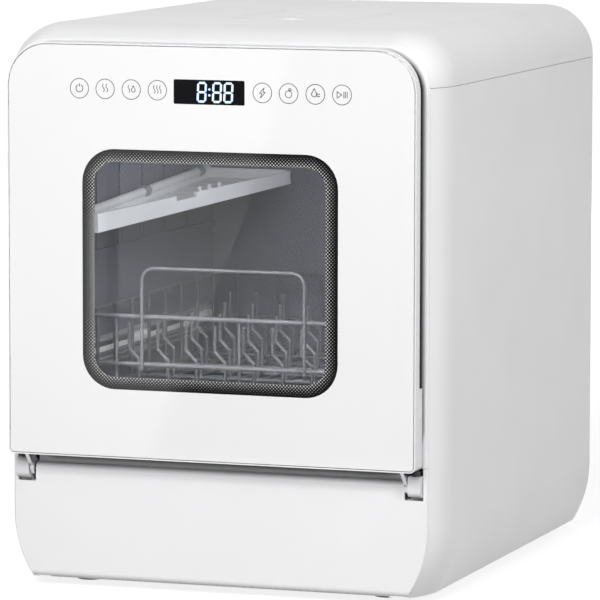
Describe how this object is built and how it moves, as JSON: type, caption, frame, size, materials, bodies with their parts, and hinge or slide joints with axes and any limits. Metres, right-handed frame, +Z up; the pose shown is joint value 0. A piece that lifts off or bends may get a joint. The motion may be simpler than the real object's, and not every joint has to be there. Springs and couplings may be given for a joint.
{
  "type": "countertop dishwasher",
  "caption": "Compact countertop dishwasher: drop-down window door, wire basket on rails, folding side shelf, spray arm and a top fill port with water tank.",
  "frame": {"origin": "middle of the footprint, on the surface that the feet stand on", "axes": "+Z up, the door faces -Y, +X to the right of someone facing the door"},
  "size_m": [0.384, 0.474, 0.47],
  "materials": {
    "shell": "satin",
    "door_trim": "gloss",
    "front_glass": "polished",
    "clear_glass": "polished",
    "display_black": "gloss",
    "tub_grey": "satin",
    "inner_white": "matte",
    "shelf_lilac": "satin",
    "dark_plastic": "matte",
    "grey_plastic": "matte",
    "tank_clear": "satin",
    "steel": "brushed",
    "wire": "satin coating",
    "rubber": "matte",
    "gasket_grey": "matte",
    "circuit": "satin",
    "filter_blue": "satin"
  },
  "bodies": {
    "case": {"top_cover": "shell", "left_side_panel": "shell", "right_side_panel": "shell", "back_panel": "inner_white", "base_tray": "inner_white", "front_plinth": "shell", "front_frame": "shell", "feet": "rubber", "case_screws": "steel", "tub": "tub_grey", "tub_gasket": "gasket_grey", "left_rail": "grey_plastic", "right_rail": "grey_plastic", "water_tank": "tank_clear", "fill_duct": "tank_clear", "fill_funnel": "inner_white", "lid_pin": "steel", "sump": "dark_plastic", "filter_plate": "steel", "wash_pump": "dark_plastic", "drain_pump": "grey_plastic", "heater": "steel", "hoses": "rubber", "spray_hub": "grey_plastic", "inlet_port": "dark_plastic", "drain_port": "grey_plastic", "power_gland": "dark_plastic", "power_board": "circuit", "fan_housing": "dark_plastic", "left_hinge_bracket": "inner_white", "right_hinge_bracket": "inner_white", "hinge_pins": "steel", "hinge_bumpers": "rubber", "door_lock": "dark_plastic", "shelf_brackets": "grey_plastic", "shelf_pin": "steel"},
    "door": {"door_frame": "door_trim", "door_glass": "front_glass", "window_pane": "clear_glass", "window_seal": "gasket_grey", "door_liner": "inner_white", "control_board": "circuit", "display_module": "display_black", "latch_hook": "steel", "left_hinge_arm": "steel", "right_hinge_arm": "steel", "door_screws": "steel"},
    "lid": {"fill_lid": "shell"},
    "basket": {"basket_floor": "wire", "basket_front": "wire", "basket_back": "wire", "basket_left": "wire", "basket_right": "wire", "basket_tines": "wire", "basket_runners": "inner_white"},
    "shelf": {"side_shelf": "shelf_lilac"},
    "spray": {"spray_arm": "grey_plastic"},
    "rotor": {"dry_fan": "dark_plastic"},
    "filter": {"filter_cup": "filter_blue"}
  },
  "joints": [
    {"name": "door_hinge", "type": "hinge", "parent": "case", "child": "door", "pos_m": [0, -0.213, 0.1], "axis": [1, 0, 0], "range_deg": [0, 90]},
    {"name": "basket_slide", "type": "slide", "parent": "case", "child": "basket", "axis": [0, -1, 0], "range_m": [0, 0.1345]},
    {"name": "lid_hinge", "type": "hinge", "parent": "case", "child": "lid", "pos_m": [0.017, 0.033, 0.468], "axis": [-1, 0, 0], "range_deg": [0, 95]},
    {"name": "shelf_fold", "type": "hinge", "parent": "case", "child": "shelf", "pos_m": [-0.1435, -0.189, 0.305], "axis": [0, -0.9989, -0.0471], "range_deg": [0, 80]},
    {"name": "spray_spin", "type": "hinge", "parent": "case", "child": "spray", "pos_m": [0, -0.0138, 0.14], "axis": [0, 0, 1], "continuous": true},
    {"name": "fan_spin", "type": "hinge", "parent": "case", "child": "rotor", "pos_m": [0.06, 0.219, 0.33], "axis": [0, 1, 0], "continuous": true},
    {"name": "filter_twist", "type": "hinge", "parent": "case", "child": "filter", "pos_m": [-0.045, -0.106, 0.11], "axis": [0, 0, 1], "range_deg": [0, 45]}
  ],
  "couplings": [
    {"joint": "basket_slide", "follows": "door_hinge", "m_per_rad": 0.085}
  ]
}
